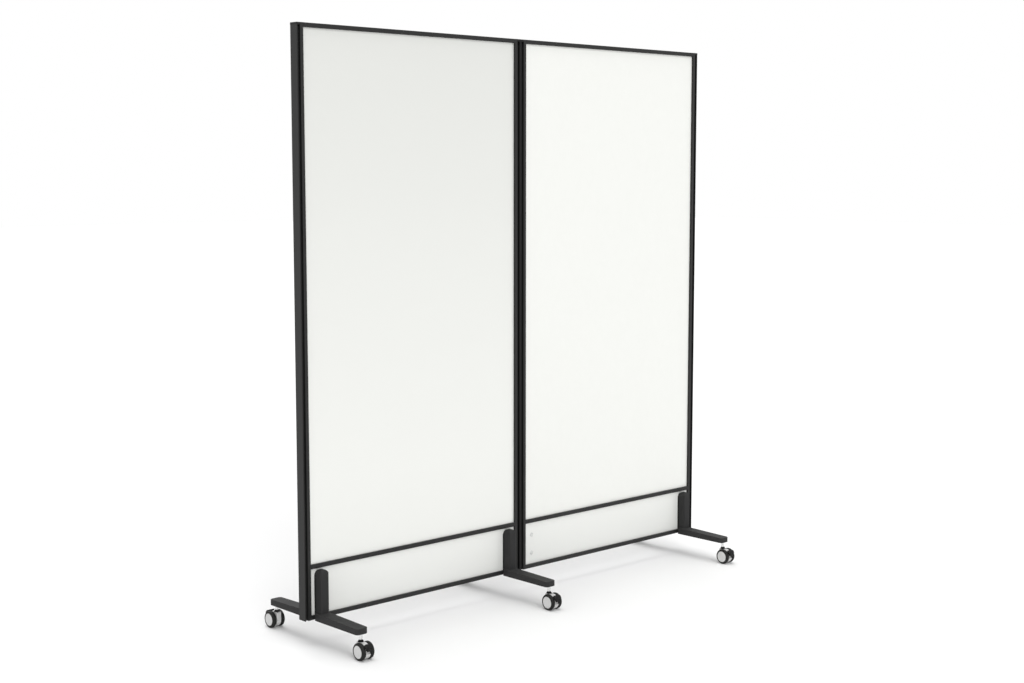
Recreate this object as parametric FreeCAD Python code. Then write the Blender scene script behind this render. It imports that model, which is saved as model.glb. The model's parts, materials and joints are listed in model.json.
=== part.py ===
import FreeCAD, Part
import math
import os

V = FreeCAD.Vector

# Screen as a whole, in millimetres. The floor is z = 0, the front looks to -Y.
screen_width = 1600.0
frame_height = 1600.0
frame_depth = 30.0
caster_height = 68.0
foot_drop = 3.5
overrun = 5.0
running_clearance = 0.05
assembly_gap = 0.5
slide_clearance = 0.1

# Stile extrusion: a face on each side, a recessed neck and a slot that opens outwards.
stile_face = 10.3
groove_width = 8.4
groove_depth = 7.0
channel_depth = 7.0
chamber_wall = 1.5
slot_mouth = 5.0
slot_lip = 1.8
slot_room = 10.0
slot_depth = 4.6
stile_edge_radius = 0.8

# Strips that slide into the slots, and the caps that close the grooves at the top.
trim_thickness = 2.2
trim_edge_radius = 0.9
joiner_width = 8.4
tongue_head = 2.0
cap_height = 6.5
cap_peg_length = 6.0
cap_edge_radius = 0.8

# Rails between the stiles.
rail_height = 12.0
kick_height = 129.0
rail_channel_depth = 5.0
mid_channel_depth = 3.5
rail_edge_radius = 0.8

# Infill: a face sheet, an acoustic core and a felt back, or one solid kick board.
infill_thickness = 18.0
face_thickness = 3.0

# Screws that hold the rails to the stiles.
screw_shank_diameter = 3.5
screw_shank_length = 22.0
screw_head_diameter = 5.6
screw_head_height = 2.0
screw_head_room = 0.3

# L-shaped feet, each with a round-topped upright against the kick board and a wider arm.
foot_width = 26.0
foot_gap = 16.4
foot_upright_depth = 29.0
foot_upright_height = 139.0
foot_crown_radius = 12.9
foot_corner_radius = 3.0
arm_width = 38.0
arm_reach = 194.5
arm_root_height = 20.5
arm_tip_height = 16.0
arm_corner_radius = 10.0
arm_edge_radius = 1.4
foot_crotch_radius = 2.0

# Studs through the kick board, and plugs for the holes that carry no foot.
stud_diameter = 8.0
stud_grip = 18.0
stud_low_height = 45.5
stud_spacing = 56.5
plug_head_diameter = 13.0
plug_head_height = 3.0
plug_shank_length = 7.0

# Twin-wheel caster: swivel stem, body between the wheels, axle and wheels.
pivot_setback = 9.5
stem_diameter = 10.0
stem_thread_diameter = 8.0
stem_thread_length = 13.0
stem_socket_floor = 30.0
stem_chamfer = 0.8
collar_low_radius = 7.4
collar_top_radius = 5.8
collar_height = 5.0
collar_lift = 0.3
wheel_diameter = 48.0
wheel_trail = 12.0
wheel_width = 13.0
wheel_gap = 15.0
tyre_shoulder = 5.4
tyre_lip = 1.4
tyre_fit = 0.02
hub_rim_radius = 18.2
hub_disc_radius = 17.4
hub_disc_recess = 0.5
hub_ring_width = 1.6
hub_ring_step = 0.5
hub_dome = 0.7
hub_inner_recess = 0.4
hub_floor = 3.0
axle_diameter = 8.0
axle_end_gap = 0.4

# Caster body profile.
body_side_gap = 0.5
body_radius = 21.6
body_top = 46.3
body_step_radius = 16.6
body_step_low_angle = -13.0
body_step_high_angle = 60.0
body_nose = 15.0
body_corner_radius = 2.0
seam_width = 0.8
seam_depth = 0.7

# Brake pedal: a hood between the wheels, a wing over the tyres and a tongue on two trunnions.
pedal_pivot_out = 13.0
pedal_pivot_height = 35.6
pedal_side_gap = 0.8
hood_inner_radius = 22.2
hood_outer_radius = 25.6
hood_low_angle = 8.0
hood_high_angle = 56.0
wing_inner_radius = 27.8
wing_outer_radius = 29.8
wing_low_angle = 27.0
wing_high_angle = 47.0
wing_span = 27.0
wing_edge_radius = 0.7
lip_height = 1.4
lip_angle = 5.0
tongue_width = 5.8
tongue_radius = 3.4
tongue_low_angle = 22.0
tongue_high_angle = 38.0
tongue_slot_gap = 0.4
tongue_slot_angle = 14.0
trunnion_diameter = 4.0
trunnion_span = 11.0

# Places that follow from the sizes above.
half_width = screen_width / 2
half_depth = frame_depth / 2
half_infill = infill_thickness / 2
neck_half = half_depth - groove_depth
stile_width = stile_face + groove_width
slot_floor = stile_width - slot_lip - slot_depth
frame_bottom = caster_height + foot_drop
frame_top = frame_bottom + frame_height
groove_top = frame_top - cap_height
mid_bottom = frame_bottom + rail_height + kick_height
mid_top = mid_bottom + rail_height
top_rail_bottom = frame_top - rail_height
bottom_rail_top = frame_bottom + rail_height
outer_edge = half_width - trim_thickness - stile_width
inner_edge = joiner_width / 2 + stile_width
foot_offset = foot_gap + foot_width / 2
outer_foot = outer_edge - foot_offset
inner_foot = inner_edge + foot_offset
foot_places = {"left": -outer_foot, "centre": -inner_foot, "right": outer_foot}
pivot_depth = half_infill + arm_reach - pivot_setback
wheel_radius = wheel_diameter / 2
axle_radius = axle_diameter / 2
stem_radius = stem_diameter / 2
body_half = wheel_gap / 2 - body_side_gap
stud_radius = stud_diameter / 2
hole_radius = stud_radius + running_clearance


def box(x, y, z):
    """A block between two values on each axis."""
    corner = V(min(x), min(y), min(z))
    return Part.makeBox(max(x) - min(x), max(y) - min(y), max(z) - min(z), corner)


def rod(radius, start, end):
    """A cylinder from one point to another."""
    return Part.makeCylinder(radius, (end - start).Length, start, end - start)


def face_of(points):
    return Part.Face(Part.makePolygon(points + points[:1]))


def edges_where(shape, test):
    """Straight and curved edges whose end points all pass a test."""
    return [edge for edge in shape.Edges if all(test(vertex.Point) for vertex in edge.Vertexes)]


def near(a, b):
    return abs(a - b) < running_clearance


def save(name, solids):
    shape = solids[0] if len(solids) == 1 else Part.makeCompound(solids)
    shape.exportStep(os.path.join("parts", name + ".step"))


# Frame

def upright_edges(shape, places):
    """Vertical edges that stand at one of the given (x, y) places."""
    def stands_at(edge, x, y):
        return all(near(v.Point.x, x) and near(v.Point.y, y) for v in edge.Vertexes)
    return [edge for edge in shape.Edges if any(stands_at(edge, x, y) for x, y in places)]


def stile(edge, side):
    """One upright. edge is the panel side and side the way that its slot opens."""
    half_mouth = slot_mouth / 2
    half_room = slot_room / 2
    lip = stile_width - slot_lip
    half = [(0, half_depth), (stile_face, half_depth), (stile_face, neck_half), (stile_width, neck_half),
            (stile_width, half_mouth), (lip, half_mouth), (lip, half_room), (slot_floor, half_room)]
    channel = [(channel_depth, half_infill), (0, half_infill)]
    upper = channel + half
    lower = [(s, -y) for s, y in reversed(upper)]
    outline = [V(edge + side * s, y, frame_bottom) for s, y in upper + lower]
    solid = face_of(outline).extrude(V(0, 0, frame_height))
    for front in (-1, 1):
        chamber_x = (edge + side * chamber_wall, edge + side * (stile_face - chamber_wall))
        chamber_y = (front * (half_infill + chamber_wall), front * (half_depth - chamber_wall))
        solid = solid.cut(box(chamber_x, chamber_y, (frame_bottom - overrun, frame_top - rail_height)))
    neck_x = (edge + side * stile_face, edge + side * (stile_width + overrun))
    solid = solid.cut(box(neck_x, (-half_depth, half_depth), (groove_top, frame_top + overrun)))
    corners = [(edge + side * s, y) for s in (0, stile_face) for y in (-half_depth, half_depth)]
    solid = solid.makeFillet(stile_edge_radius, upright_edges(solid, corners))
    for height, seat in screw_rows():
        start = V(edge - side * overrun, 0, height)
        end = V(edge + side * (seat + overrun), 0, height)
        solid = solid.cut(rod(screw_shank_diameter / 2 + running_clearance, start, end))
    return solid


def tongue(edge, side, top):
    """The T-shaped rib that slides in a stile's slot."""
    stem_x = (edge + side * stile_width, edge + side * (stile_width - slot_lip - slide_clearance))
    head_x = (stem_x[1], stem_x[1] - side * tongue_head)
    stem_y = slot_mouth / 2 - slide_clearance
    head_y = slot_room / 2 - slide_clearance
    tongue_z = (frame_bottom, top - cap_peg_length - assembly_gap)
    stem = box(stem_x, (-stem_y, stem_y), tongue_z)
    return stem.fuse(box(head_x, (-head_y, head_y), tongue_z))


def end_trim(side):
    face = box((side * half_width, side * (half_width - trim_thickness)), (-half_depth, half_depth),
               (frame_bottom, groove_top))
    corners = [(side * half_width, -half_depth), (side * half_width, half_depth)]
    face = face.makeFillet(trim_edge_radius, upright_edges(face, corners))
    return face.fuse(tongue(side * outer_edge, side, groove_top)).removeSplitter()


def centre_joiner():
    half = joiner_width / 2
    bar = box((-half, half), (-half_depth, half_depth), (frame_bottom, groove_top))
    corners = [(x, y) for x in (-half, half) for y in (-half_depth, half_depth)]
    bar = bar.makeFillet(stile_edge_radius, upright_edges(bar, corners))
    for side in (-1, 1):
        bar = bar.fuse(tongue(side * inner_edge, -side, groove_top))
    return bar.removeSplitter()


def cap_peg(edge, side):
    """Peg under a top cap, in the free end of a stile's slot."""
    peg_x = (edge + side * (slot_floor + slide_clearance), edge + side * (stile_width - slot_lip - slide_clearance))
    peg_y = slot_room / 2 - slide_clearance
    return box(peg_x, (-peg_y, peg_y), (groove_top - cap_peg_length, groove_top))


def top_cap(span, pegs):
    """Block over the grooves; each peg is a stile's panel edge and the way its slot opens."""
    cap = box(span, (-half_depth, half_depth), (groove_top, frame_top))

    def is_long_rim(edge):
        ends = [vertex.Point for vertex in edge.Vertexes]
        return all(near(p.z, frame_top) for p in ends) and near(ends[0].y, ends[1].y)
    cap = cap.makeFillet(cap_edge_radius, [edge for edge in cap.Edges if is_long_rim(edge)])
    for edge, side in pegs:
        cap = cap.fuse(cap_peg(edge, side))
        seat = edge + side * stile_face
        deep = seat + side * (screw_head_height + screw_head_room)
        pocket_radius = screw_head_diameter / 2 + screw_head_room
        height = top_screw_height()
        cap = cap.cut(rod(pocket_radius, V(seat - side * overrun, 0, height), V(deep, 0, height)))
    return cap


def top_caps():
    caps = [top_cap((-inner_edge + stile_face, inner_edge - stile_face), [(-inner_edge, 1), (inner_edge, -1)])]
    for side in (-1, 1):
        caps.append(top_cap((side * (outer_edge + stile_face), side * half_width), [(side * outer_edge, side)]))
    return caps


def top_screw_height():
    return frame_top - (rail_height - rail_channel_depth) / 2


def screw_rows():
    """Height of each rail's screws, and how far from the panel edge their heads sit."""
    bottom_web = (rail_height - rail_channel_depth) / 2
    return [(top_screw_height(), stile_face), (mid_bottom + rail_height / 2, slot_floor),
            (frame_bottom + bottom_web, slot_floor)]


def bays():
    """The two panel bays, each from its left stile's panel edge to its right stile's."""
    return [(-outer_edge, -inner_edge), (inner_edge, outer_edge)]


def stile_places():
    """Panel edge of every stile, and the way that its slot opens."""
    return [(-outer_edge, -1), (-inner_edge, 1), (inner_edge, -1), (outer_edge, 1)]


def rail(left, right, low, high, channels):
    """A rail with tenons in the stiles' channels; channels are (height, way in, depth)."""
    solid = box((left, right), (-half_depth, half_depth), (low, high))

    def long_edge(point):
        return near(abs(point.y), half_depth)
    long_edges = [edge for edge in edges_where(solid, long_edge) if edge.Length > rail_height + frame_depth]
    solid = solid.makeFillet(rail_edge_radius, long_edges)
    web = [low, high]
    for mouth, way, depth in channels:
        floor = mouth + way * depth
        solid = solid.cut(box((left, right), (-half_infill, half_infill), (mouth, floor)))
        web[0 if way > 0 else 1] = floor
    tenon_x = (left - channel_depth, right + channel_depth)
    solid = solid.fuse(box(tenon_x, (-half_infill, half_infill), web)).removeSplitter()
    axis_height = (web[0] + web[1]) / 2
    for start, end in ((tenon_x[0], left), (tenon_x[1], right)):
        way = math.copysign(screw_shank_length, end - start)
        hole = rod(screw_shank_diameter / 2 + running_clearance, V(start - way, 0, axis_height),
                   V(start + way, 0, axis_height))
        solid = solid.cut(hole)
    return solid


def top_rail(left, right):
    return rail(left, right, top_rail_bottom, frame_top, [(top_rail_bottom, 1, rail_channel_depth)])


def mid_rail(left, right):
    channels = [(mid_bottom, 1, mid_channel_depth), (mid_top, -1, mid_channel_depth)]
    return rail(left, right, mid_bottom, mid_top, channels)


def bottom_rail(left, right):
    return rail(left, right, frame_bottom, bottom_rail_top, [(bottom_rail_top, -1, rail_channel_depth)])


def frame_screws():
    screws = []
    for edge, side in stile_places():
        for height, seat in screw_rows():
            under_head = V(edge + side * seat, 0, height)
            tip = V(under_head.x - side * screw_shank_length, 0, height)
            crown = V(under_head.x + side * screw_head_height, 0, height)
            screw = rod(screw_shank_diameter / 2, under_head, tip)
            screws.append(screw.fuse(rod(screw_head_diameter / 2, under_head, crown)).removeSplitter())
    return screws


# Infill

def infill_layer(left, right, front, back):
    """One layer of a panel, held in the channels of its stiles and rails."""
    bite = channel_depth - assembly_gap
    low = mid_top - mid_channel_depth + assembly_gap
    high = top_rail_bottom + rail_channel_depth - assembly_gap
    return box((left - bite, right + bite), (front, back), (low, high))


def front_face(left, right):
    return infill_layer(left, right, -half_infill, -half_infill + face_thickness)


def core(left, right):
    return infill_layer(left, right, -half_infill + face_thickness, half_infill - face_thickness)


def felt_back(left, right):
    return infill_layer(left, right, half_infill - face_thickness, half_infill)


def stud_heights():
    return [frame_bottom + stud_low_height, frame_bottom + stud_low_height + stud_spacing]


def kick_board(left, right):
    """Solid board with a pair of foot holes near each end."""
    bite = channel_depth - assembly_gap
    low = bottom_rail_top - rail_channel_depth + assembly_gap
    high = mid_bottom + mid_channel_depth - assembly_gap
    board = box((left - bite, right + bite), (-half_infill, half_infill), (low, high))
    for x in (left + foot_offset, right - foot_offset):
        for z in stud_heights():
            board = board.cut(rod(hole_radius, V(x, -half_depth, z), V(x, half_depth, z)))
    return board


def hole_plug(x, z, front):
    """Domed plug in one side of a spare foot hole; front is -1 or 1."""
    head_radius = plug_head_diameter / 2
    seat = front * half_infill
    shank = rod(stud_radius, V(x, seat, z), V(x, seat - front * plug_shank_length, z))
    sphere_radius = (head_radius ** 2 + plug_head_height ** 2) / (2 * plug_head_height)
    centre = V(x, seat + front * (plug_head_height - sphere_radius), z)
    dome = Part.makeSphere(sphere_radius, centre)
    head = dome.common(rod(head_radius, V(x, seat, z), V(x, seat + front * plug_head_diameter, z)))
    return head.fuse(shank).removeSplitter()


def hole_plugs():
    return [hole_plug(inner_foot, z, front) for z in stud_heights() for front in (-1, 1)]


# Feet

def foot_upright(x, front):
    """Post against the kick board, with a domed top where two round arches cross."""
    half = foot_width / 2
    near_face = front * half_infill
    far_face = front * (half_infill + foot_upright_depth)
    low = frame_bottom - foot_drop
    high = frame_bottom + foot_upright_height
    post = box((x - half, x + half), (near_face, far_face), (low, high))
    corners = [(x - half, far_face), (x + half, far_face)]
    post = post.makeFillet(foot_corner_radius, upright_edges(post, corners))

    def arch(along):
        """The post's block with both top edges along one axis rounded."""
        block = box((x - half, x + half), (near_face, far_face), (low, high))

        def is_rim(edge):
            ends = [vertex.Point for vertex in edge.Vertexes]
            return all(near(p.z, high) for p in ends) and not near(ends[0].dot(along), ends[1].dot(along))
        return block.makeFillet(foot_crown_radius, [edge for edge in block.Edges if is_rim(edge)])
    post = post.common(arch(V(1, 0, 0))).common(arch(V(0, 1, 0)))
    rail_y = (near_face, front * half_depth)
    return post.cut(box((x - half, x + half), rail_y, (low, frame_bottom + rail_height)))


def foot_arm(x, front):
    """Flat arm from the bottom rail's face to the caster, with a round-cornered tip."""
    def at(depth, height):
        return V(x - arm_width / 2, front * depth, frame_bottom - foot_drop + height)
    tip_depth = half_infill + arm_reach
    outline = [at(half_depth, 0), at(tip_depth, 0), at(tip_depth, arm_tip_height), at(half_depth, arm_root_height)]
    arm = face_of(outline).extrude(V(arm_width, 0, 0))
    corners = [(x - arm_width / 2, front * tip_depth), (x + arm_width / 2, front * tip_depth)]
    arm = arm.makeFillet(arm_corner_radius, upright_edges(arm, corners))

    def is_top_rim(edge):
        raised = all(v.Point.z > frame_bottom - foot_drop + arm_tip_height / 2 for v in edge.Vertexes)
        ahead = any(abs(v.Point.y) > half_depth + running_clearance for v in edge.Vertexes)
        return raised and ahead
    return arm.makeFillet(arm_edge_radius, [edge for edge in arm.Edges if is_top_rim(edge)])


def foot(x, front):
    """One L-shaped foot; front is -1 for a front foot and 1 for a rear one."""
    solid = foot_upright(x, front).fuse(foot_arm(x, front)).removeSplitter()
    crotch_depth = half_infill + foot_upright_depth

    def is_crotch(edge):
        """The line where the front of the post meets the top of the arm."""
        ends = [vertex.Point for vertex in edge.Vertexes]
        level = all(frame_bottom < p.z < frame_bottom + arm_root_height for p in ends)
        return level and all(near(abs(p.y), crotch_depth) for p in ends)
    solid = solid.makeFillet(foot_crotch_radius, [edge for edge in solid.Edges if is_crotch(edge)])
    for z in stud_heights():
        deep = V(x, front * (half_infill + stud_grip + assembly_gap), z)
        solid = solid.cut(rod(hole_radius, V(x, 0, z), deep))
    stem_seat = V(x, front * pivot_depth, caster_height)
    bore_end = stem_seat + V(0, 0, stem_thread_length + assembly_gap)
    bore = rod(stem_thread_diameter / 2 + running_clearance, stem_seat - V(0, 0, overrun), bore_end)
    return solid.cut(bore)


def foot_studs():
    studs = []
    reach = half_infill + stud_grip
    for x in foot_places.values():
        for z in stud_heights():
            studs.append(rod(stud_radius, V(x, -reach, z), V(x, reach, z)))
    return studs


# Casters. Each is drawn at the origin with its outer side towards -Y, then set on its pivot.

def out(x, reach, height):
    """A point of the caster, with reach measured outwards from the swivel axis."""
    return V(x, -reach, height)


def about_axle(radius, angle, x=0):
    """A point round the wheel axle; 0 degrees looks outwards and 90 up."""
    turn = math.radians(angle)
    return out(x, wheel_trail + radius * math.cos(turn), wheel_radius + radius * math.sin(turn))


def sector(inner, outer, low, high, half_span):
    """Part of a ring round the axle, centred between the wheels."""
    middle = (low + high) / 2
    edges = [Part.Arc(about_axle(outer, low, -half_span), about_axle(outer, middle, -half_span),
                      about_axle(outer, high, -half_span)).toShape(),
             Part.makeLine(about_axle(outer, high, -half_span), about_axle(inner, high, -half_span)),
             Part.Arc(about_axle(inner, high, -half_span), about_axle(inner, middle, -half_span),
                      about_axle(inner, low, -half_span)).toShape(),
             Part.makeLine(about_axle(inner, low, -half_span), about_axle(outer, low, -half_span))]
    return Part.Face(Part.Wire(edges)).extrude(V(2 * half_span, 0, 0))


def caster_stem():
    stem = rod(stem_radius, V(0, 0, stem_socket_floor), V(0, 0, caster_height))
    thread_end = V(0, 0, caster_height + stem_thread_length)
    stem = stem.fuse(rod(stem_thread_diameter / 2, V(0, 0, caster_height), thread_end)).removeSplitter()

    def at_end(point):
        return near(point.z, stem_socket_floor) or near(point.z, thread_end.z)
    return stem.makeChamfer(stem_chamfer, edges_where(stem, at_end))


def caster_collar():
    """Dust cone on the stem, just over the body."""
    low = V(0, 0, body_top + collar_lift)
    cone = Part.makeCone(collar_low_radius, collar_top_radius, collar_height, low)
    bore = rod(stem_radius + tyre_fit, V(0, 0, 0), V(0, 0, caster_height))
    return cone.cut(bore)


def body_block(inset, half):
    """The body's outline as a block: a disc round the axle and the stem's boss above it."""
    radius = body_radius - inset
    disc = rod(radius, about_axle(0, 0, -half), about_axle(0, 0, half))
    boss_y = (radius - wheel_trail, -body_nose + inset)
    return disc.fuse(box((-half, half), boss_y, (wheel_radius, body_top - inset))).removeSplitter()


def caster_body():
    body = body_block(0, body_half)

    def on_back_rim(point):
        return near(point.z, body_top) and point.y > stem_radius
    body = body.makeFillet(body_corner_radius, edges_where(body, on_back_rim))
    step = sector(body_step_radius, body_radius + overrun, body_step_low_angle, body_step_high_angle,
                  body_half + overrun)
    body = body.cut(step)
    seam_y = (body_radius + overrun, -wheel_trail - body_radius - overrun)
    seam = box((-seam_width / 2, seam_width / 2), seam_y, (0, caster_height))
    body = body.cut(seam.cut(body_block(seam_depth, body_half)))
    body = body.cut(rod(stem_radius + running_clearance, V(0, 0, stem_socket_floor), V(0, 0, caster_height)))
    body = body.cut(rod(axle_radius + tyre_fit, about_axle(0, 0, -wheel_gap), about_axle(0, 0, wheel_gap)))
    body = body.cut(tongue_slot())
    bearing_half = trunnion_span / 2 + tongue_slot_gap
    return body.cut(rod(trunnion_diameter / 2 + running_clearance,
                        out(-bearing_half, pedal_pivot_out, pedal_pivot_height),
                        out(bearing_half, pedal_pivot_out, pedal_pivot_height)))


def tongue_slot():
    """Pocket in the body for the pedal's tongue, which opens outwards under the roof."""
    half = tongue_width / 2 + tongue_slot_gap
    room = tongue_radius + tongue_slot_gap
    reach = pedal_pivot_out + body_radius
    droop = body_radius * math.tan(math.radians(tongue_slot_angle))
    high = pedal_pivot_height + room
    low = pedal_pivot_height - room
    wedge = face_of([out(-half, pedal_pivot_out, high), out(-half, reach, high), out(-half, reach, low - droop),
                     out(-half, pedal_pivot_out, low)]).extrude(V(2 * half, 0, 0))
    return wedge.fuse(rod(room, out(-half, pedal_pivot_out, pedal_pivot_height),
                          out(half, pedal_pivot_out, pedal_pivot_height)))


def caster_axle():
    half = wheel_gap / 2 + wheel_width - hub_floor - axle_end_gap
    return rod(axle_radius, about_axle(0, 0, -half), about_axle(0, 0, half))


def turned(outline, side):
    """Revolve (distance from the middle, radius) points and arcs round the axle."""
    def at(point):
        return V(side * point[0], -wheel_trail, wheel_radius + point[1])
    edges = []
    for points in outline:
        if len(points) == 2:
            edges.append(Part.makeLine(at(points[0]), at(points[1])))
        else:
            edges.append(Part.Arc(at(points[0]), at(points[1]), at(points[2])).toShape())
    face = Part.Face(Part.Wire(edges))
    return face.revolve(about_axle(0, 0), V(1, 0, 0), math.degrees(2 * math.pi))


def chain(points):
    """Straight stretches through a list of points."""
    return list(zip(points[:-1], points[1:]))


def tyre(side):
    near_face = wheel_gap / 2
    far_face = near_face + wheel_width
    bulge = tyre_shoulder * (1 - math.sqrt(0.5))
    seat = hub_rim_radius + tyre_fit
    crown_in = near_face + tyre_shoulder
    crown_out = far_face - tyre_shoulder
    shoulder = wheel_radius - tyre_shoulder
    outline = chain([(near_face, seat), (near_face, shoulder)])
    outline.append(((near_face, shoulder), (near_face + bulge, wheel_radius - bulge), (crown_in, wheel_radius)))
    outline += chain([(crown_in, wheel_radius), (crown_out, wheel_radius)])
    outline.append(((crown_out, wheel_radius), (far_face - bulge, wheel_radius - bulge), (far_face, shoulder)))
    lip_radius = hub_disc_radius + tyre_fit
    outline += chain([(far_face, shoulder), (far_face, lip_radius), (far_face - tyre_lip, lip_radius),
                      (far_face - tyre_lip, seat), (near_face, seat)])
    return turned(outline, side)


def hub(side):
    near_face = wheel_gap / 2 + hub_inner_recess
    far_face = wheel_gap / 2 + wheel_width
    rim_end = far_face - tyre_lip - tyre_fit
    disc_face = far_face - hub_disc_recess
    dish = disc_face - hub_ring_step
    ring = hub_disc_radius - hub_ring_width
    dome_rim = ring - hub_ring_step
    bore = axle_radius + running_clearance
    bore_end = far_face - hub_floor
    outline = chain([(near_face, bore), (near_face, hub_rim_radius), (rim_end, hub_rim_radius),
                     (rim_end, hub_disc_radius), (disc_face, hub_disc_radius), (disc_face, ring),
                     (dish, dome_rim)])
    dome_radius = (dome_rim ** 2 + hub_dome ** 2) / (2 * hub_dome)
    dome_mid = math.sqrt(dome_radius ** 2 - dome_rim ** 2 / 4) - dome_radius + hub_dome
    outline.append(((dish, dome_rim), (dish + dome_mid, dome_rim / 2), (dish + hub_dome, 0)))
    outline += chain([(dish + hub_dome, 0), (bore_end, 0), (bore_end, bore), (near_face, bore)])
    return turned(outline, side)


def brake_pedal():
    hood_half = wheel_gap / 2 - pedal_side_gap
    hood = sector(hood_inner_radius, hood_outer_radius, hood_low_angle, hood_high_angle, hood_half)
    bridge = sector(hood_outer_radius, wing_outer_radius, wing_low_angle, wing_high_angle, hood_half)
    wing = sector(wing_inner_radius, wing_outer_radius, wing_low_angle, wing_high_angle, wing_span / 2)

    def at_side(point):
        return near(abs(point.x), wing_span / 2)
    wing = wing.makeFillet(wing_edge_radius, edges_where(wing, at_side))
    lip = sector(wing_outer_radius, wing_outer_radius + lip_height, wing_low_angle,
                 wing_low_angle + lip_angle, hood_half)
    pivot = out(-tongue_width / 2, pedal_pivot_out, pedal_pivot_height)
    span = V(tongue_width, 0, 0)
    eye = rod(tongue_radius, pivot, pivot + span)
    root_radius = (hood_inner_radius + hood_outer_radius) / 2
    root_low = about_axle(root_radius, tongue_low_angle, -tongue_width / 2)
    root_high = about_axle(root_radius, tongue_high_angle, -tongue_width / 2)
    along = (root_high - pivot).normalize()
    aside = V(0, along.z, -along.y) * tongue_radius
    arm = face_of([pivot + aside, root_high, root_low, pivot - aside])
    arm = arm.extrude(span)
    trunnion = rod(trunnion_diameter / 2, out(-trunnion_span / 2, pedal_pivot_out, pedal_pivot_height),
                   out(trunnion_span / 2, pedal_pivot_out, pedal_pivot_height))
    return hood.multiFuse([bridge, wing, lip, eye, arm, trunnion]).removeSplitter()


def set_caster(shape, x, front):
    """Put a caster piece on its pivot; rear casters are turned round."""
    placed = shape.copy()
    if front > 0:
        placed.rotate(V(0, 0, 0), V(0, 0, 1), math.degrees(math.pi))
    placed.translate(V(x, front * pivot_depth, 0))
    return placed


def main():
    os.makedirs("parts", exist_ok=True)
    save("stiles", [stile(edge, side) for edge, side in stile_places()])
    left_bay, right_bay = bays()
    save("top_rails", [top_rail(*bay) for bay in bays()])
    save("mid_rails", [mid_rail(*bay) for bay in bays()])
    save("bottom_rails", [bottom_rail(*bay) for bay in bays()])
    save("frame_screws", frame_screws())
    save("centre_joiner", [centre_joiner()])
    save("end_trims", [end_trim(-1), end_trim(1)])
    save("top_caps", top_caps())
    save("whiteboard_face", [front_face(*left_bay)])
    save("white_felt_face", [front_face(*right_bay)])
    save("acoustic_cores", [core(*bay) for bay in bays()])
    save("charcoal_felts", [felt_back(*bay) for bay in bays()])
    save("kick_boards", [kick_board(*bay) for bay in bays()])
    save("hole_plugs", hole_plugs())
    save("feet", [foot(x, front) for x in foot_places.values() for front in (-1, 1)])
    save("foot_studs", foot_studs())

    pieces = {"body": caster_body(), "axle": caster_axle(), "left_tyre": tyre(-1), "right_tyre": tyre(1),
              "left_hub": hub(-1), "right_hub": hub(1), "pedal": brake_pedal()}
    stem = caster_stem()
    collar = caster_collar()
    stems = []
    collars = []
    for place, x in foot_places.items():
        for row, front in (("front", -1), ("rear", 1)):
            stems.append(set_caster(stem, x, front))
            collars.append(set_caster(collar, x, front))
            for piece, shape in pieces.items():
                save("_".join((place, row, "caster", piece)), [set_caster(shape, x, front)])
    save("caster_stems", stems)
    save("caster_collars", collars)


main()
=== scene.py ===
import json
import math

import bpy
from mathutils import Euler, Matrix, Vector

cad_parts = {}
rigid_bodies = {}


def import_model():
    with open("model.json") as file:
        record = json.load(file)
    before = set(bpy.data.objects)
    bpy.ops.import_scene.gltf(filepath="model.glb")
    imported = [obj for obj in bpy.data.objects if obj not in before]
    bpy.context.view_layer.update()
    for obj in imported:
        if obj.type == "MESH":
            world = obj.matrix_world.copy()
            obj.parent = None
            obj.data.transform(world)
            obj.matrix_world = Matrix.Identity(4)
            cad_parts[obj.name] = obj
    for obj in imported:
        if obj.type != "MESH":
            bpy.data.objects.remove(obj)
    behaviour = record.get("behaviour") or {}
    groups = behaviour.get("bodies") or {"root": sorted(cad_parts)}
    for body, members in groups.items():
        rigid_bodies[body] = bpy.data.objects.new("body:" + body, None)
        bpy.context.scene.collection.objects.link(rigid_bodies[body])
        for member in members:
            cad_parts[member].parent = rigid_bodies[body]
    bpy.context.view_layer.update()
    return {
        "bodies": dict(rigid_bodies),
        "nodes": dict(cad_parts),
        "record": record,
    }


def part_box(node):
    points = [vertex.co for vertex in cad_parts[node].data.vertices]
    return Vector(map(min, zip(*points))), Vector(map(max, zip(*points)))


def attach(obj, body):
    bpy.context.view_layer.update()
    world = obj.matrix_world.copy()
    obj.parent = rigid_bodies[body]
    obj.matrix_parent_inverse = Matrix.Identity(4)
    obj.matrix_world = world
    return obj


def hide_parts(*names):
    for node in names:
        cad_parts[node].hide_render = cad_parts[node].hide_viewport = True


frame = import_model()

# Sizes in metres, angles in degrees.
MM = 0.001

# Camera at the photograph's station.
CAMERA_PLACE = (-3.189, -3.3985, 1.2858)
CAMERA_TURN = 42.988
CAMERA_TILT = 6.26
LENS_MM = 54.648
SENSOR_MM = 36.0

# Pressed sheets: the waves through them, and the points across and up that carry the waves.
WAVE_HEIGHT = 0.12 * MM
WAVE_SCALE = 7.0
FELT_STEPS = (40, 72)
CORE_STEPS = (12, 24)

# Grip ribs across the brake pedals.
RIB_COUNT = 4
RIB_RADIUS = 0.5 * MM
RIB_SIDES = 8
RIB_END_INSET = 2.2 * MM
RIB_FIRST_ANGLE = 35.0
RIB_LAST_ANGLE = 45.0
PEDAL_WING_RADIUS = 29.8 * MM
WHEEL_RADIUS = 24.0 * MM

# Flared dust skirts round the caster stems.
SKIRT_FOOT_RADIUS = 8.6 * MM
SKIRT_TOP_RADIUS = 4.4 * MM
SKIRT_RISE = 7.4 * MM
SKIRT_CLEARANCE = 0.25 * MM
SKIRT_SIDES = 48

# Thin black pads between the foot uprights and the kick boards, dark pieces put there as painted
# shade on the kick board beside each upright.
# Points of the disc that a pad is drawn from belong to its foot when they lie lower than the seam.
PAD_HALF_WIDTH = 15.4 * MM
PAD_THICKNESS = 2.0 * MM
PAD_DROP = 4.5 * MM
PAD_SEAM = -0.01 * MM
PAD_SIDES = 64

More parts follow.
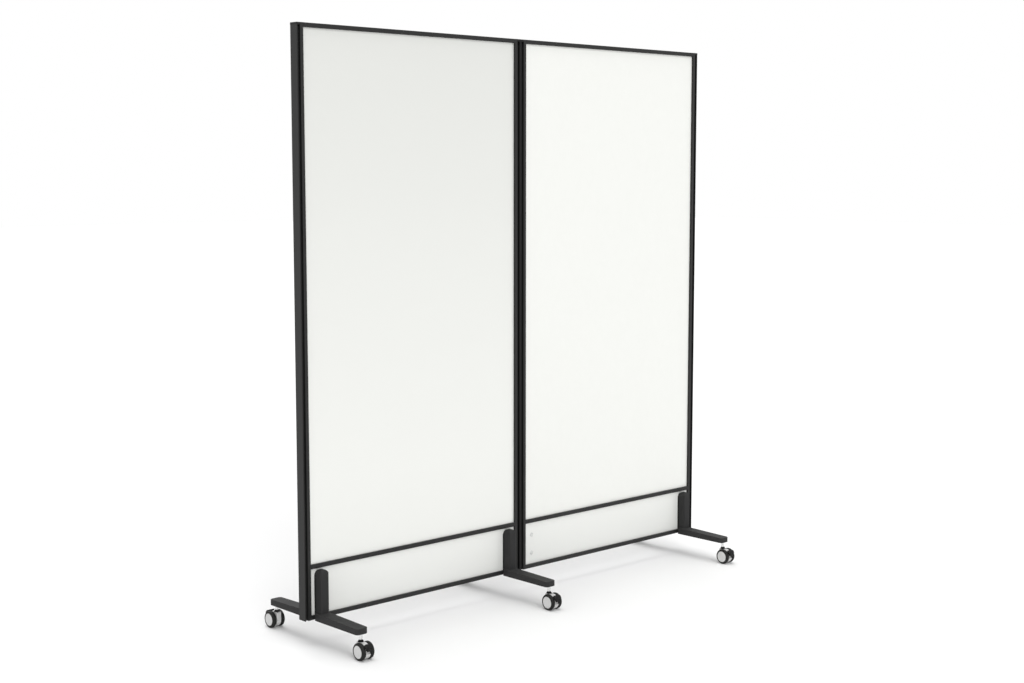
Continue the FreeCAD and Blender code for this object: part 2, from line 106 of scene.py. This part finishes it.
# Most of a noise lies between these values.
NOISE_LOW = 0.3
NOISE_MIDDLE = 0.5
NOISE_HIGH = 0.7

# Darkest and lightest shade of each finish.
FRAME_SHADES = ((0.011, 0.011, 0.011), (0.017, 0.017, 0.0165))
JOINER_SHADES = ((0.006, 0.006, 0.006), (0.01, 0.01, 0.01))
FOOT_SHADES = ((0.031, 0.031, 0.031), (0.04, 0.04, 0.04))
BLACK_PLASTIC_SHADES = ((0.007, 0.007, 0.007), (0.014, 0.014, 0.014))
WHITE_PLASTIC_SHADES = ((0.66, 0.665, 0.65), (0.74, 0.745, 0.73))
GREY_PLASTIC_SHADES = ((0.65, 0.65, 0.645), (0.73, 0.73, 0.725))
WHITE_FELT_SHADES = ((0.935, 0.943, 0.908), (0.955, 0.962, 0.928))
CHARCOAL_FELT_SHADES = ((0.034, 0.034, 0.035), (0.07, 0.07, 0.071))
FLEECE_SHADES = ((0.48, 0.48, 0.46), (0.6, 0.6, 0.58))
RUBBER_SHADES = ((0.008, 0.008, 0.008), (0.018, 0.018, 0.017))
BRIGHT_STEEL_SHADES = ((0.66, 0.66, 0.66), (0.82, 0.82, 0.82))
ZINC_STEEL_SHADES = ((0.5, 0.5, 0.49), (0.64, 0.64, 0.62))

# Lowest and highest shade of the finishes that change with height, and the heights between them.
# The whiteboard's change with height is painted light: lighter low down, darker high up.
ENAMEL_PAINTED_LIGHT_SHADES = ((0.915, 0.923, 0.888), (0.795, 0.803, 0.771))
ENAMEL_PAINTED_LIGHT_SPAN = (0.45, 1.62)
# The kick boards' change with height is painted shade: darker towards the floor.
LAMINATE_PAINTED_SHADES = ((0.824, 0.832, 0.805), (0.936, 0.944, 0.914))
LAMINATE_PAINTED_SHADE_SPAN = (0.083, 0.19)

# Light. A lamp's level is the brightness that it gives a white face turned to it, its turn is its
# bearing from the front of the screen, and its height is its elevation.
LAMPS = {
    "key_lamp": {"level": 0.25, "spread": 30.0, "turn": -24.0, "height": 35.0},
    "top_lamp": {"level": 0.46, "spread": 45.0, "turn": 0.0, "height": 90.0},
    "back_lamp": {"level": 0.22, "spread": 40.0, "turn": 165.0, "height": 42.0},
}
SKY_LEVEL = 0.50
SKY_SEEN = 1.0
FLOOR_HALF = 30.0
FLOOR_SHADE = 0.88
FLOOR_LIFT = 0.03


# Nodes

def put(tree, value, socket):
    """Link a node's output to a socket, or set the socket to a plain value."""
    if isinstance(value, bpy.types.NodeSocket):
        tree.links.new(value, socket)
    else:
        socket.default_value = value


def add_node(tree, kind, **inputs):
    """A new node with its named inputs put in; an underscore stands for a space in a name."""
    node = tree.nodes.new(kind)
    for label, value in inputs.items():
        put(tree, value, node.inputs[label.replace("_", " ")])
    return node


def add_math(tree, operation, *values):
    """The result of a new math node."""
    node = tree.nodes.new("ShaderNodeMath")
    node.operation = operation
    for socket, value in zip(node.inputs, values):
        put(tree, value, socket)
    return node.outputs["Value"]


# Finishes

class Finish:
    """A principled material, with helpers that lay procedural detail on it."""

    def __init__(self, name, **sockets):
        self.material = bpy.data.materials.new(name)
        self.material.use_nodes = True
        self.tree = self.material.node_tree
        self.shader = self.tree.nodes["Principled BSDF"]
        for label, value in sockets.items():
            self.shade(label.replace("_", " "), value)
        self.place = self.tree.nodes.new("ShaderNodeTexCoord").outputs["Object"]

    def shade(self, label, value):
        put(self.tree, value, self.shader.inputs[label])

    def noise(self, scale, detail=3.0, rough=0.5, stretch=(1, 1, 1), twist=0.0):
        mapping = add_node(self.tree, "ShaderNodeMapping", Vector=self.place, Scale=stretch)
        node = add_node(self.tree, "ShaderNodeTexNoise", Vector=mapping.outputs["Vector"],
                        Scale=scale, Detail=detail, Roughness=rough, Distortion=twist)
        return node.outputs["Fac"]

    def fibres(self, stretch):
        """Hair-like lines: a noise drawn out along one axis and twisted."""
        return self.noise(scale=420.0, detail=4.0, rough=0.65, stretch=stretch, twist=1.4)

    def mixed(self, first, second, share):
        node = add_node(self.tree, "ShaderNodeMix", Factor=share, A=first, B=second)
        return node.outputs["Result"]

    def ranged(self, factor, low, high, start=NOISE_LOW, stop=NOISE_HIGH):
        """A factor that goes from low to high while the given one goes from start to stop."""
        node = add_node(self.tree, "ShaderNodeMapRange", Value=factor, From_Min=start,
                        From_Max=stop, To_Min=low, To_Max=high)
        return node.outputs["Result"]

    def rising(self, noise, span, share):
        """A factor that grows from 0 at one height to 1 at another, broken up by a noise."""
        split = add_node(self.tree, "ShaderNodeSeparateXYZ", Vector=self.place)
        height = self.ranged(split.outputs["Z"], low=0.0, high=1.0, start=span[0], stop=span[1])
        return self.mixed(height, noise, share)

    def tint(self, factor, shades, start=NOISE_LOW, stop=NOISE_HIGH):
        """Colour that goes from the first shade to the second along a factor."""
        ramp = add_node(self.tree, "ShaderNodeValToRGB", Fac=factor)
        for element, position, shade in zip(ramp.color_ramp.elements, (start, stop), shades):
            element.position = position
            element.color = (*shade, 1)
        self.shade("Base Color", ramp.outputs["Color"])

    def roughen(self, factor, low, high):
        self.shade("Roughness", self.ranged(factor, low, high))

    def bump(self, factor, height, strength=1.0):
        node = add_node(self.tree, "ShaderNodeBump", Height=factor, Distance=height,
                        Strength=strength)
        self.shade("Normal", node.outputs["Normal"])


def powder_coat(name, shades, shine, rough, grain_scale, grain_height):
    """Satin powder coat: orange-peel grain, faint cloudiness and handling marks."""
    finish = Finish(name, Specular_IOR_Level=shine)
    grain = finish.noise(scale=grain_scale, detail=2.0)
    cloud = finish.noise(scale=9.0, detail=4.0, stretch=(1, 1, 0.4))
    finish.tint(finish.mixed(cloud, grain, share=0.35), shades)
    finish.roughen(finish.mixed(cloud, grain, share=0.5), low=rough - 0.08, high=rough + 0.08)
    finish.bump(grain, height=grain_height)
    return finish.material


def writing_enamel():
    """Gloss white enamel with a faint haze of wiping strokes, and painted light that makes it
    lighter towards the bottom and darker towards the top.
    """
    finish = Finish("gloss_white_enamel", Coat_Weight=0.35, Coat_Roughness=0.05)
    haze = finish.noise(scale=2.6, detail=5.0, rough=0.6, stretch=(1.6, 1, 0.7), twist=0.5)
    strokes = finish.noise(scale=14.0, stretch=(0.5, 1, 3.0), twist=0.8)
    wiped = finish.mixed(haze, strokes, share=0.35)
    # Painted light: the tint runs from the lighter shade low down to the darker one high up, with a
    # little of the wiping haze mixed in.
    finish.tint(finish.rising(wiped, ENAMEL_PAINTED_LIGHT_SPAN, share=0.06), ENAMEL_PAINTED_LIGHT_SHADES, start=0.0, stop=1.0)
    finish.roughen(wiped, low=0.09, high=0.2)
    finish.bump(finish.noise(scale=60.0, detail=2.0), height=0.02 * MM)
    return finish.material


def pressed_felt(name, shades, mottle_scale, mottle_stretch, sheen):
    """Needled felt: soft mottling, crossing fibres and a dry sheen."""
    finish = Finish(name, Sheen_Weight=sheen, Sheen_Roughness=0.5, Specular_IOR_Level=0.15)
    mottle = finish.noise(mottle_scale, detail=5.0, rough=0.72, stretch=mottle_stretch, twist=0.3)
    upright = finish.fibres(stretch=(1.0, 1.0, 0.16))
    level = finish.fibres(stretch=(0.16, 1.0, 1.0))
    fibre = finish.mixed(upright, level, share=0.5)
    finish.tint(finish.mixed(mottle, fibre, share=0.3), shades)
    finish.roughen(fibre, low=0.88, high=1.0)
    finish.bump(fibre, height=0.5 * MM, strength=0.7)
    return finish.material


def laminate():
    """White melamine on board, with a fine pearl texture and painted shade that darkens it towards
    the floor.
    """
    finish = Finish("white_laminate", Specular_IOR_Level=0.4)
    pearl = finish.noise(scale=700.0, detail=2.0)
    cloud = finish.noise(scale=5.0, detail=4.0)
    # Painted shade: the tint runs from the darker shade at the foot of the board to the lighter one
    # higher up, broken up a little by noise.
    painted_floor_shade = finish.rising(finish.mixed(cloud, pearl, share=0.3), LAMINATE_PAINTED_SHADE_SPAN, share=0.25)
    finish.tint(painted_floor_shade, LAMINATE_PAINTED_SHADES, start=0.0, stop=1.0)
    finish.roughen(pearl, low=0.38, high=0.52)
    finish.bump(pearl, height=0.06 * MM)
    return finish.material


def moulded(name, shades, rough, shine=0.5):
    """Moulded plastic with a spark-eroded grain."""
    finish = Finish(name, Specular_IOR_Level=shine)
    grain = finish.noise(scale=1500.0, detail=2.0)
    cloud = finish.noise(scale=40.0)
    finish.tint(finish.mixed(cloud, grain, share=0.4), shades)
    finish.roughen(grain, low=rough - 0.06, high=rough + 0.08)
    finish.bump(grain, height=0.05 * MM)
    return finish.material


def tread_rubber():
    """Soft black tyre with dust in its grain and scuffs round the tread."""
    finish = Finish("tread_rubber", Specular_IOR_Level=0.2)
    scuff = finish.noise(scale=160.0, detail=4.0, rough=0.7, twist=0.6)
    grain = finish.noise(scale=1300.0, detail=2.0)
    finish.tint(finish.mixed(scuff, grain, share=0.3), RUBBER_SHADES)
    finish.roughen(scuff, low=0.45, high=0.68)
    finish.bump(grain, height=0.06 * MM)
    return finish.material


def plated_steel(name, shades, low_rough, high_rough):
    """Turned and plated steel: fine rings round the shaft."""
    finish = Finish(name, Metallic=1.0)
    rings = finish.noise(scale=300.0, stretch=(0.4, 0.4, 9.0))
    finish.tint(rings, shades)
    finish.roughen(rings, low_rough, high_rough)
    finish.bump(rings, height=0.02 * MM)
    return finish.material


def make_finishes():
    """The finish of every slot in the record."""
    return {
        "frame_black": powder_coat(
            "satin_black_coat", FRAME_SHADES, shine=0.30, rough=0.48, grain_scale=1100.0,
            grain_height=0.05 * MM),
        "foot_black": powder_coat(
            "cast_black_coat", FOOT_SHADES, shine=0.12, rough=0.62, grain_scale=750.0,
            grain_height=0.09 * MM),
        "black_plastic": moulded("black_moulding", BLACK_PLASTIC_SHADES, rough=0.5, shine=0.2),
        "gloss_white": writing_enamel(),
        "white_felt": pressed_felt(
            "white_felt", WHITE_FELT_SHADES, mottle_scale=60.0, mottle_stretch=(1, 1, 0.6),
            sheen=0.05),
        "charcoal_felt": pressed_felt(
            "charcoal_felt", CHARCOAL_FELT_SHADES, mottle_scale=24.0, mottle_stretch=(1, 1, 0.9),
            sheen=0.12),
        "core_fleece": pressed_felt(
            "core_fleece", FLEECE_SHADES, mottle_scale=30.0, mottle_stretch=(1, 1, 1), sheen=0.1),
        "white_board": laminate(),
        "white_plastic": moulded("white_moulding", WHITE_PLASTIC_SHADES, rough=0.3),
        "grey_plastic": moulded("grey_moulding", GREY_PLASTIC_SHADES, rough=0.36),
        "tyre_black": tread_rubber(),
        "bright_steel": plated_steel(
            "bright_steel", BRIGHT_STEEL_SHADES, low_rough=0.16, high_rough=0.3),
        "zinc_steel": plated_steel(
            "zinc_steel", ZINC_STEEL_SHADES, low_rough=0.28, high_rough=0.42),
    }


def dress_nodes(finishes):
    """Give every CAD node the finish of its slot, and the joiner a duller coat than the frame's."""
    for part in frame["record"]["subparts"]:
        mesh = frame["nodes"][part["node"]].data
        mesh.materials.clear()
        mesh.materials.append(finishes[part["material_slot"]])
    joiner = frame["nodes"]["centre_joiner"].data
    joiner.materials[0] = powder_coat(
        "joiner_black_coat", JOINER_SHADES, shine=0.18, rough=0.6, grain_scale=1100.0,
        grain_height=0.05 * MM)


# Shape trees

def new_tree(name, sockets):
    """An empty geometry node tree, and the outputs that give its named inputs."""
    tree = bpy.data.node_groups.new(name, "GeometryNodeTree")
    for label, kind in sockets.items():
        tree.interface.new_socket(label, in_out="INPUT", socket_type="NodeSocket" + kind)
    tree.interface.new_socket("Geometry", in_out="OUTPUT", socket_type="NodeSocketGeometry")
    return tree, tree.nodes.new("NodeGroupInput").outputs


def end_tree(tree, geometry, finish):
    """Realize what the tree made, and give it its finish."""
    real = add_node(tree, "GeometryNodeRealizeInstances", Geometry=geometry)
    painted = add_node(tree, "GeometryNodeSetMaterial", Geometry=real.outputs["Geometry"],
                       Material=finish)
    add_node(tree, "NodeGroupOutput", Geometry=painted.outputs["Geometry"])


def sheet_tree():
    """A slab with gentle waves through it, as pressed felt has."""
    tree, given = new_tree("pressed_sheet", {
        "Width": "Float", "Thickness": "Float", "Height": "Float", "Steps Across": "Int",
        "Steps Up": "Int", "Wave": "Float", "Seed": "Float", "Finish": "Material"})
    size = add_node(tree, "ShaderNodeCombineXYZ", X=given["Width"], Y=given["Thickness"],
                    Z=given["Height"])
    slab = add_node(tree, "GeometryNodeMeshCube", Size=size.outputs["Vector"],
                    Vertices_X=given["Steps Across"], Vertices_Y=2, Vertices_Z=given["Steps Up"])
    waves = add_node(tree, "ShaderNodeTexNoise", Scale=WAVE_SCALE)
    waves.noise_dimensions = "4D"
    put(tree, given["Seed"], waves.inputs["W"])
    swing = add_math(tree, "SUBTRACT", waves.outputs["Fac"], NOISE_MIDDLE)
    lift = add_math(tree, "MULTIPLY", swing, given["Wave"])
    offset = add_node(tree, "ShaderNodeCombineXYZ", Y=lift)
    waved = add_node(tree, "GeometryNodeSetPosition", Geometry=slab.outputs["Mesh"],
                     Offset=offset.outputs["Vector"])
    end_tree(tree, waved.outputs["Geometry"], given["Finish"])
    return tree


def ribs_tree():
    """Round bars laid side by side on an arc about the X axis."""
    tree, given = new_tree("grip_ribs", {
        "Arc Radius": "Float", "First Angle": "Float", "Last Angle": "Float", "Count": "Int",
        "Rib Length": "Float", "Rib Radius": "Float", "Finish": "Material"})
    line = add_node(tree, "GeometryNodeMeshLine", Count=given["Count"])
    index = tree.nodes.new("GeometryNodeInputIndex").outputs["Index"]
    steps = add_math(tree, "SUBTRACT", given["Count"], 1)
    share = add_math(tree, "DIVIDE", index, steps)
    sweep = add_math(tree, "SUBTRACT", given["Last Angle"], given["First Angle"])
    angle = add_math(tree, "MULTIPLY_ADD", share, sweep, given["First Angle"])
    out = add_math(tree, "MULTIPLY", add_math(tree, "COSINE", angle), given["Arc Radius"])
    up = add_math(tree, "MULTIPLY", add_math(tree, "SINE", angle), given["Arc Radius"])
    spot = add_node(tree, "ShaderNodeCombineXYZ", Y=out, Z=up)
    spots = add_node(tree, "GeometryNodeSetPosition", Geometry=line.outputs["Mesh"],
                     Position=spot.outputs["Vector"])
    bar = add_node(tree, "GeometryNodeMeshCylinder", Vertices=RIB_SIDES,
                   Radius=given["Rib Radius"], Depth=given["Rib Length"])
    bar.fill_type = "TRIANGLE_FAN"
    laid = add_node(tree, "GeometryNodeTransform", Geometry=bar.outputs["Mesh"],
                    Rotation=Euler((0, math.pi / 2, 0)))
    bars = add_node(tree, "GeometryNodeInstanceOnPoints", Points=spots.outputs["Geometry"],
                    Instance=laid.outputs["Geometry"])
    end_tree(tree, bars.outputs["Instances"], given["Finish"])
    return tree


def skirt_tree():
    """A flared cone that stands on its wide end."""
    tree, given = new_tree("dust_skirt", {
        "Foot Radius": "Float", "Top Radius": "Float", "Rise": "Float", "Finish": "Material"})
    cone = add_node(tree, "GeometryNodeMeshCone", Vertices=SKIRT_SIDES,
                    Radius_Bottom=given["Foot Radius"], Radius_Top=given["Top Radius"],
                    Depth=given["Rise"])
    smooth = add_node(tree, "GeometryNodeSetShadeSmooth", Geometry=cone.outputs["Mesh"],
                      Selection=cone.outputs["Side"])
    end_tree(tree, smooth.outputs["Geometry"], given["Finish"])
    return tree


def shade_pad_tree():
    # The pad is a dark piece that stands in for shade: painted shade beside the foot upright.
    """An upright pad with a round top: a disc whose lower half is drawn down to a level foot."""
    tree, given = new_tree("shade_pad", {
        "Half Width": "Float", "Leg": "Float", "Thickness": "Float", "Finish": "Material"})
    disc = add_node(tree, "GeometryNodeMeshCylinder", Vertices=PAD_SIDES,
                    Radius=given["Half Width"], Depth=given["Thickness"])
    position = tree.nodes.new("GeometryNodeInputPosition").outputs["Position"]
    flat = add_node(tree, "ShaderNodeSeparateXYZ", Vector=position)
    lower = add_math(tree, "LESS_THAN", flat.outputs["Y"], PAD_SEAM)
    fall = add_math(tree, "MULTIPLY", lower, given["Leg"])
    rise = add_math(tree, "MAXIMUM", flat.outputs["Y"], 0.0)
    height = add_math(tree, "SUBTRACT", rise, fall)
    depth = add_math(tree, "MULTIPLY", flat.outputs["Z"], -1.0)
    spot = add_node(tree, "ShaderNodeCombineXYZ", X=flat.outputs["X"], Y=depth, Z=height)
    drawn = add_node(tree, "GeometryNodeSetPosition", Geometry=disc.outputs["Mesh"],
                     Position=spot.outputs["Vector"])
    end_tree(tree, drawn.outputs["Geometry"], given["Finish"])
    return tree


def grown(name, tree, values, place):
    """Run a node tree once and keep its result as a plain mesh, set in place."""
    maker = bpy.data.objects.new(name + "_maker", bpy.data.meshes.new(name + "_maker"))
    bpy.context.scene.collection.objects.link(maker)
    modifier = maker.modifiers.new("grow", "NODES")
    modifier.node_group = tree
    for item in tree.interface.items_tree:
        if item.in_out == "INPUT":
            modifier[item.identifier] = values[item.name]
    graph = bpy.context.evaluated_depsgraph_get()
    mesh = bpy.data.meshes.new_from_object(maker.evaluated_get(graph), depsgraph=graph)
    maker.modifiers.remove(modifier)
    bpy.data.objects.remove(maker)
    mesh.transform(place)
    piece = bpy.data.objects.new(name, mesh)
    bpy.context.scene.collection.objects.link(piece)
    return piece


# Soft sheets in the frame

def bay_spans(node):
    """The reach along X of a node's left and right solids, one in each bay."""
    low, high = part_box(node)
    inner_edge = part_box("white_felt_face")[0][0]
    return {"left": (low[0], -inner_edge), "right": (inner_edge, high[0])}


def soft_sheet(name, tree, node, span, slot, finishes, seed, steps):
    """A sheet in the place of a node's solid; returns it and its width and height."""
    low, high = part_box(node)
    size = Vector((span[1] - span[0], high[1] - low[1], high[2] - low[2]))
    centre = Vector(((span[0] + span[1]) / 2, (low[1] + high[1]) / 2, (low[2] + high[2]) / 2))
    values = {"Width": size.x, "Thickness": size.y - WAVE_HEIGHT, "Height": size.z,
              "Steps Across": steps[0], "Steps Up": steps[1], "Wave": WAVE_HEIGHT,
              "Seed": seed, "Finish": finishes[slot]}
    piece = grown(name, tree, values, Matrix.Translation(centre))
    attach(piece, "frame")
    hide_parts(node)
    return piece, (size.x, size.z)


def make_soft_sheets(finishes):
    """White felt in the right bay, and charcoal felt on a fleece core in both."""
    tree = sheet_tree()
    low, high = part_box("white_felt_face")
    felt, flat = soft_sheet("white_felt", tree, "white_felt_face", (low[0], high[0]),
                            "white_felt", finishes, 1.0, FELT_STEPS)
    for seed, (side, span) in enumerate(bay_spans("charcoal_felts").items(), start=2):
        felt, flat = soft_sheet(side + "_charcoal_felt", tree, "charcoal_felts", span,
                                "charcoal_felt", finishes, float(seed), FELT_STEPS)
        core, _ = soft_sheet(side + "_acoustic_core", tree, "acoustic_cores", span,
                             "core_fleece", finishes, float(seed), CORE_STEPS)


# Feet and casters

def caster_pivots():
    """Every caster's name, with the X and Y of its swivel."""
    joints = frame["record"]["behaviour"]["joints"]
    swivels = [joint for joint in joints if joint["name"].endswith("_swivel")]
    return [(joint["child"], *joint["pos_m"][:2]) for joint in swivels]


def make_shade_pads(finishes):
    """Thin black pad behind every foot's upright, standing on the bottom rail: a dark piece put
    there as painted shade beside the upright.
    """
    tree = shade_pad_tree()
    board_low, board_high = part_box("kick_boards")
    rail_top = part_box("bottom_rails")[1][2]
    round_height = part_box("feet")[1][2] - PAD_DROP - PAD_HALF_WIDTH
    values = {"Half Width": PAD_HALF_WIDTH, "Leg": round_height - rail_top,
              "Thickness": PAD_THICKNESS, "Finish": finishes["black_plastic"]}
    for caster, x, y in caster_pivots():
        if y > 0:
            middle = board_high[1] + PAD_THICKNESS / 2
        else:
            middle = board_low[1] - PAD_THICKNESS / 2
        place = Matrix.Translation((x, middle, round_height))
        piece = grown(caster.replace("_caster", "_shade_pad"), tree, values, place)
        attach(piece, "frame")


def make_dust_skirts(finishes):
    """Flared skirt round every stem, over the collar and clear of the caster below."""
    tree = skirt_tree()
    collar_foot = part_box("caster_collars")[0][2]
    values = {"Foot Radius": SKIRT_FOOT_RADIUS, "Top Radius": SKIRT_TOP_RADIUS,
              "Rise": SKIRT_RISE, "Finish": finishes["black_plastic"]}
    for caster, x, y in caster_pivots():
        place = Matrix.Translation((x, y, collar_foot + SKIRT_CLEARANCE))
        piece = grown(caster + "_dust_skirt", tree, values, place)
        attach(piece, "frame")


def make_grip_ribs(finishes):
    """Low ribs across every pedal, on the arc of its wing about the wheel axle."""
    tree = ribs_tree()
    for body in frame["bodies"]:
        if not body.endswith("_brake_pedal"):
            continue
        caster = body[:-len("_brake_pedal")]
        low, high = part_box(caster + "_pedal")
        tyre_low, tyre_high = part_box(caster + "_left_tyre")
        axle = Vector(((low[0] + high[0]) / 2, (tyre_low[1] + tyre_high[1]) / 2, WHEEL_RADIUS))
        turn = Matrix.Rotation(0 if "_rear_" in caster else math.pi, 4, "Z")
        values = {"Arc Radius": PEDAL_WING_RADIUS, "First Angle": math.radians(RIB_FIRST_ANGLE),
                  "Last Angle": math.radians(RIB_LAST_ANGLE), "Count": RIB_COUNT,
                  "Rib Length": high[0] - low[0] - 2 * RIB_END_INSET, "Rib Radius": RIB_RADIUS,
                  "Finish": finishes["black_plastic"]}
        piece = grown(caster + "_pedal_ribs", tree, values, Matrix.Translation(axle) @ turn)
        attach(piece, body)


# Stage

def seen(tree):
    """1 for a ray that looks, straight, mirrored or through glass, and 0 for one that lights."""
    path = tree.nodes.new("ShaderNodeLightPath").outputs
    looks = add_math(tree, "MAXIMUM", path["Is Camera Ray"], path["Is Glossy Ray"])
    return add_math(tree, "MAXIMUM", looks, path["Is Transmission Ray"])


def floor_finish():
    """Pale floor that keeps the shadows and reads as white where there are none."""
    material = bpy.data.materials.new("studio_floor")
    material.use_nodes = True
    tree = material.node_tree
    tree.nodes.clear()
    matte = add_node(tree, "ShaderNodeBsdfDiffuse",
                     Color=(FLOOR_SHADE, FLOOR_SHADE, FLOOR_SHADE, 1))
    lift = add_node(tree, "ShaderNodeEmission",
                    Strength=add_math(tree, "MULTIPLY", seen(tree), FLOOR_LIFT))
    both = tree.nodes.new("ShaderNodeAddShader")
    put(tree, matte.outputs["BSDF"], both.inputs[0])
    put(tree, lift.outputs["Emission"], both.inputs[1])
    add_node(tree, "ShaderNodeOutputMaterial", Surface=both.outputs["Shader"])
    return material


def make_floor():
    mesh = bpy.data.meshes.new("floor")
    signs = ((-1, -1), (1, -1), (1, 1), (-1, 1))
    mesh.from_pydata([(x * FLOOR_HALF, y * FLOOR_HALF, 0) for x, y in signs], [], [(0, 1, 2, 3)])
    mesh.materials.append(floor_finish())
    floor = bpy.data.objects.new("floor", mesh)
    bpy.context.scene.collection.objects.link(floor)


def make_sky():
    """Even white light; what looks straight at it sees plain white."""
    world = bpy.data.worlds.new("studio_sky")
    world.use_nodes = True
    bpy.context.scene.world = world
    tree = world.node_tree
    sky = tree.nodes["Background"]
    put(tree, (1, 1, 1, 1), sky.inputs["Color"])
    strength = add_node(tree, "ShaderNodeMapRange", Value=seen(tree), To_Min=SKY_LEVEL,
                        To_Max=SKY_SEEN)
    put(tree, strength.outputs["Result"], sky.inputs["Strength"])


def make_lamp(name, level, spread, turn, height):
    """Far-off soft lamp."""
    light = bpy.data.lights.new(name, "SUN")
    light.energy = level * math.pi
    light.angle = math.radians(spread)
    lamp = bpy.data.objects.new(name, light)
    turn, height = math.radians(turn), math.radians(height)
    place = Vector((math.sin(turn) * math.cos(height), -math.cos(turn) * math.cos(height),
                    math.sin(height)))
    lamp.rotation_euler = (-place).to_track_quat("-Z", "Y").to_euler()
    lamp.location = place
    bpy.context.scene.collection.objects.link(lamp)


def make_camera():
    lens = bpy.data.cameras.new("camera")
    lens.lens = LENS_MM
    lens.sensor_width = SENSOR_MM
    lens.sensor_fit = "HORIZONTAL"
    camera = bpy.data.objects.new("camera", lens)
    camera.location = CAMERA_PLACE
    camera.rotation_euler = (math.radians(90 - CAMERA_TILT), 0, math.radians(-CAMERA_TURN))
    bpy.context.scene.collection.objects.link(camera)
    bpy.context.scene.camera = camera


def main():
    bpy.context.scene.view_settings.view_transform = "Standard"
    finishes = make_finishes()
    dress_nodes(finishes)
    make_soft_sheets(finishes)
    make_shade_pads(finishes)
    make_dust_skirts(finishes)
    make_grip_ribs(finishes)
    make_floor()
    make_sky()
    for name, lamp in LAMPS.items():
        make_lamp(name, **lamp)
    make_camera()


main()
